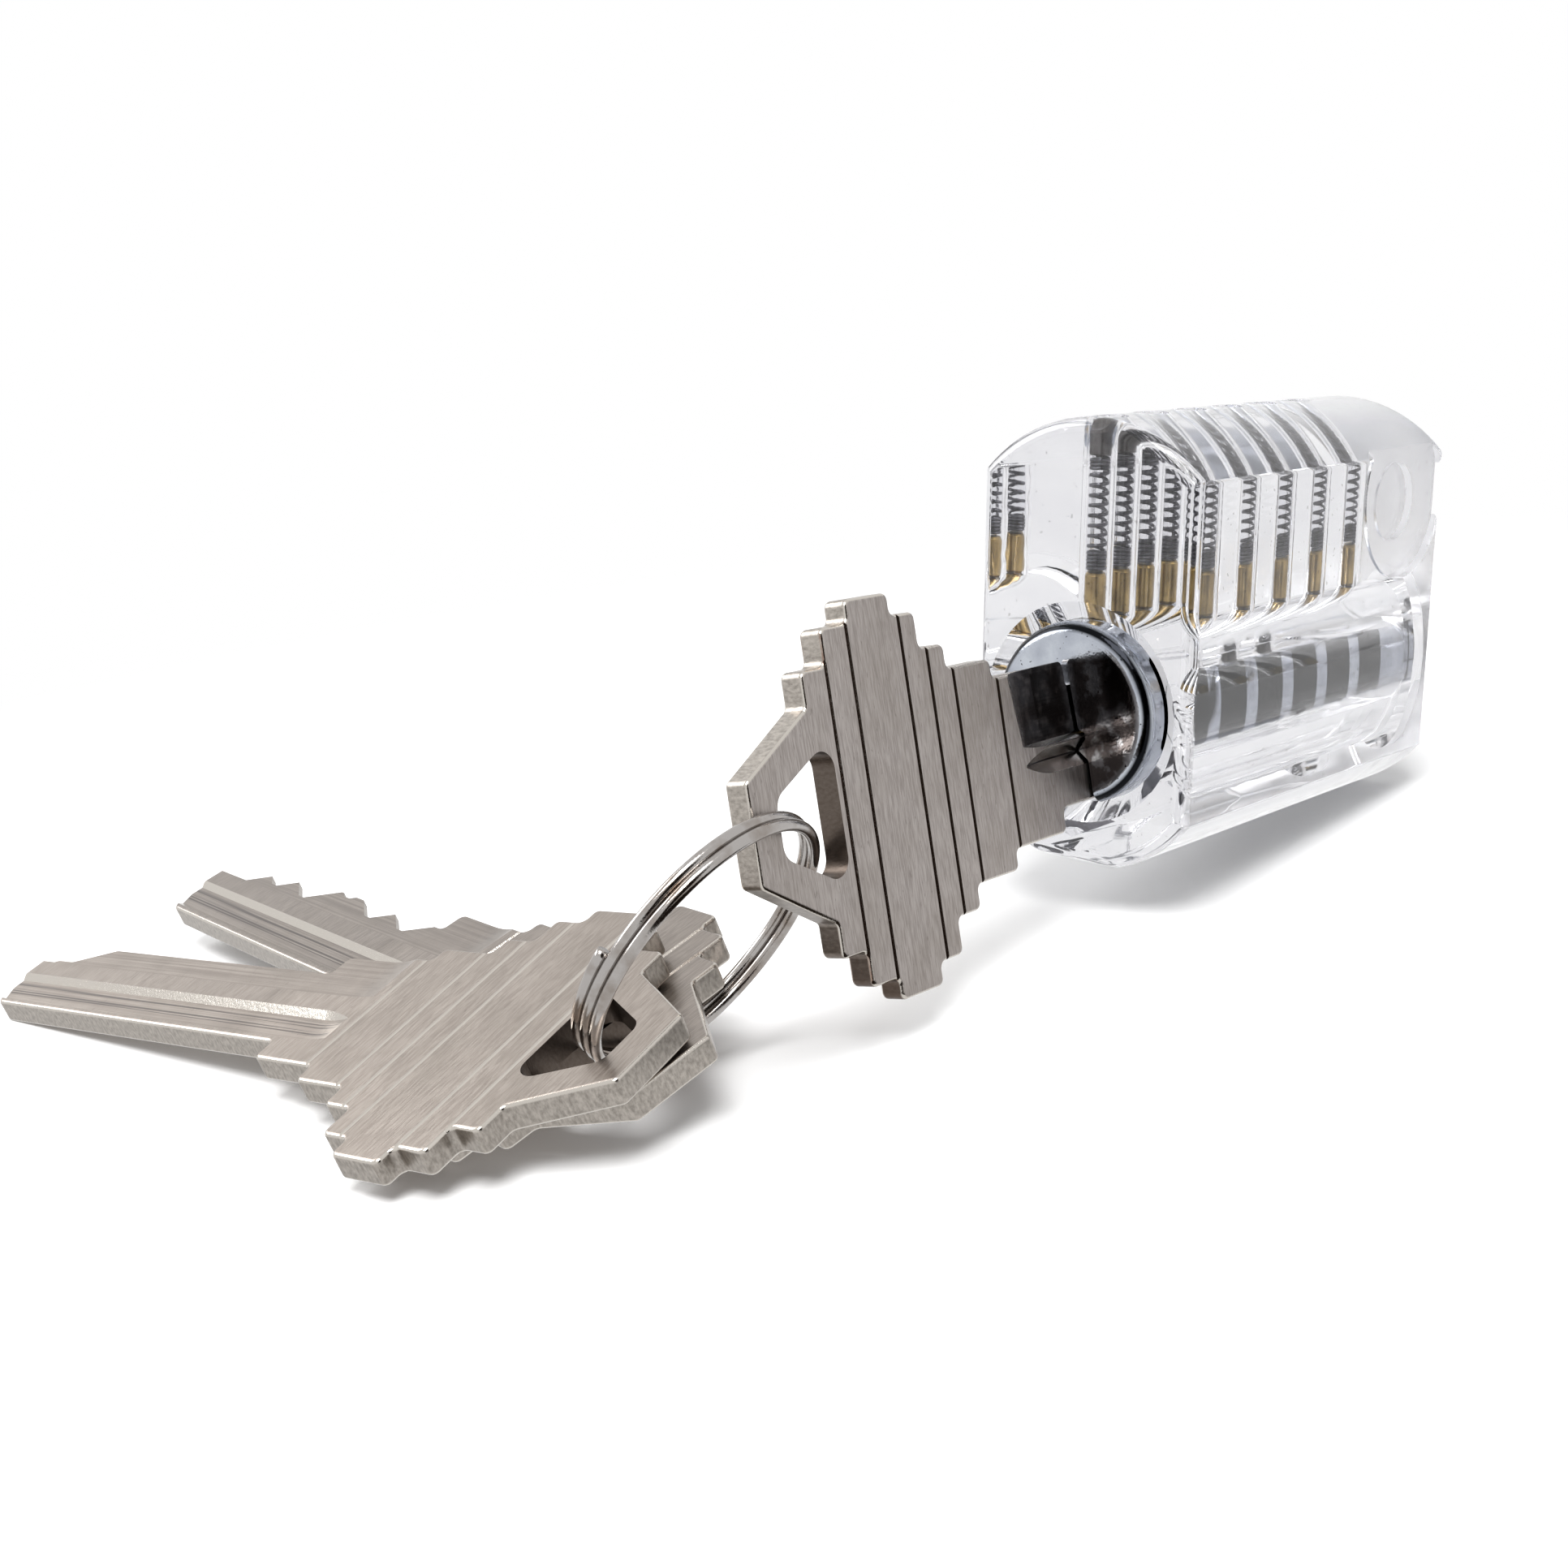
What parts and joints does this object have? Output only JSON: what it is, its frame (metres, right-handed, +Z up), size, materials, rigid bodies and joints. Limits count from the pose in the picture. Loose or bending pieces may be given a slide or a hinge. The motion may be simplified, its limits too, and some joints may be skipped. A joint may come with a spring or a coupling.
{
  "type": "practice lock",
  "caption": "Clear acrylic pin tumbler practice lock with its key in the plug and more keys on a split ring.",
  "frame": {"origin": "middle of the flat land under the block", "axes": "+Z up through the pin chambers, +Y into the lock along the plug, +X to the right seen from the keyway"},
  "size_m": [0.0682, 0.0849, 0.0422],
  "materials": {
    "clear_acrylic": "clear polished acrylic, bores slightly frosted by the drill",
    "plated_plug": "bright plated brass",
    "pin_brass": "turned",
    "spring_steel": "drawn wire",
    "cap_steel": "dull grey",
    "key_nickel_silver": "nickel silver, linished and tumbled",
    "ring_steel": "bright steel wire"
  },
  "bodies": {
    "housing": {"body": "clear_acrylic", "chamber_cap_1": "cap_steel", "chamber_cap_2": "cap_steel", "chamber_cap_3": "cap_steel", "chamber_cap_4": "cap_steel", "chamber_cap_5": "cap_steel", "chamber_cap_6": "cap_steel", "spring_1": "spring_steel", "spring_2": "spring_steel", "spring_3": "spring_steel", "spring_4": "spring_steel", "spring_5": "spring_steel", "spring_6": "spring_steel"},
    "plug": {"plug": "plated_plug", "retaining_clip": "spring_steel", "key_pin_1": "pin_brass", "key_pin_2": "pin_brass", "key_pin_3": "pin_brass", "key_pin_4": "pin_brass", "key_pin_5": "pin_brass", "key_pin_6": "pin_brass", "inserted_key": "key_nickel_silver"},
    "driver_1": {"driver_pin_1": "pin_brass"},
    "driver_2": {"driver_pin_2": "pin_brass"},
    "driver_3": {"driver_pin_3": "pin_brass"},
    "driver_4": {"driver_pin_4": "pin_brass"},
    "driver_5": {"driver_pin_5": "pin_brass"},
    "driver_6": {"driver_pin_6": "pin_brass"},
    "ring": {"split_ring": "ring_steel"},
    "uncut_key": {"uncut_key": "key_nickel_silver"},
    "cut_key": {"cut_key": "key_nickel_silver"}
  },
  "joints": [
    {"name": "plug_turn", "type": "hinge", "parent": "housing", "child": "plug", "pos_m": [0, 0, 0.01007], "axis": [0, 1, 0], "range_deg": [-78, 102]},
    {"name": "driver_lift_1", "type": "slide", "parent": "housing", "child": "driver_1", "axis": [0, 0, 1], "range_m": [0, 0.0024], "stiffness_N_per_m": 60, "springref_m": -0.003, "deforming": ["spring_1"]},
    {"name": "driver_lift_2", "type": "slide", "parent": "housing", "child": "driver_2", "axis": [0, 0, 1], "range_m": [0, 0.0024], "stiffness_N_per_m": 60, "springref_m": -0.003, "deforming": ["spring_2"]},
    {"name": "driver_lift_3", "type": "slide", "parent": "housing", "child": "driver_3", "axis": [0, 0, 1], "range_m": [0, 0.0024], "stiffness_N_per_m": 60, "springref_m": -0.003, "deforming": ["spring_3"]},
    {"name": "driver_lift_4", "type": "slide", "parent": "housing", "child": "driver_4", "axis": [0, 0, 1], "range_m": [0, 0.0024], "stiffness_N_per_m": 60, "springref_m": -0.003, "deforming": ["spring_4"]},
    {"name": "driver_lift_5", "type": "slide", "parent": "housing", "child": "driver_5", "axis": [0, 0, 1], "range_m": [0, 0.0024], "stiffness_N_per_m": 60, "springref_m": -0.003, "deforming": ["spring_5"]},
    {"name": "driver_lift_6", "type": "slide", "parent": "housing", "child": "driver_6", "axis": [0, 0, 1], "range_m": [0, 0.0024], "stiffness_N_per_m": 60, "springref_m": -0.003, "deforming": ["spring_6"]},
    {"name": "ring_swing", "type": "hinge", "parent": "plug", "child": "ring", "pos_m": [0.00063, -0.04429, 0.00708], "axis": [-0.2079, 0, 0.9781], "range_deg": [0, 55]},
    {"name": "uncut_key_swing", "type": "hinge", "parent": "ring", "child": "uncut_key", "pos_m": [-0.00361, -0.05672, -0.00314], "axis": [0.1217, 0.361, -0.9246], "range_deg": [-40, 30]},
    {"name": "cut_key_swing", "type": "hinge", "parent": "ring", "child": "cut_key", "pos_m": [-0.00467, -0.05431, -0.00452], "axis": [0.1217, 0.361, -0.9246], "range_deg": [-30, 2]}
  ]
}
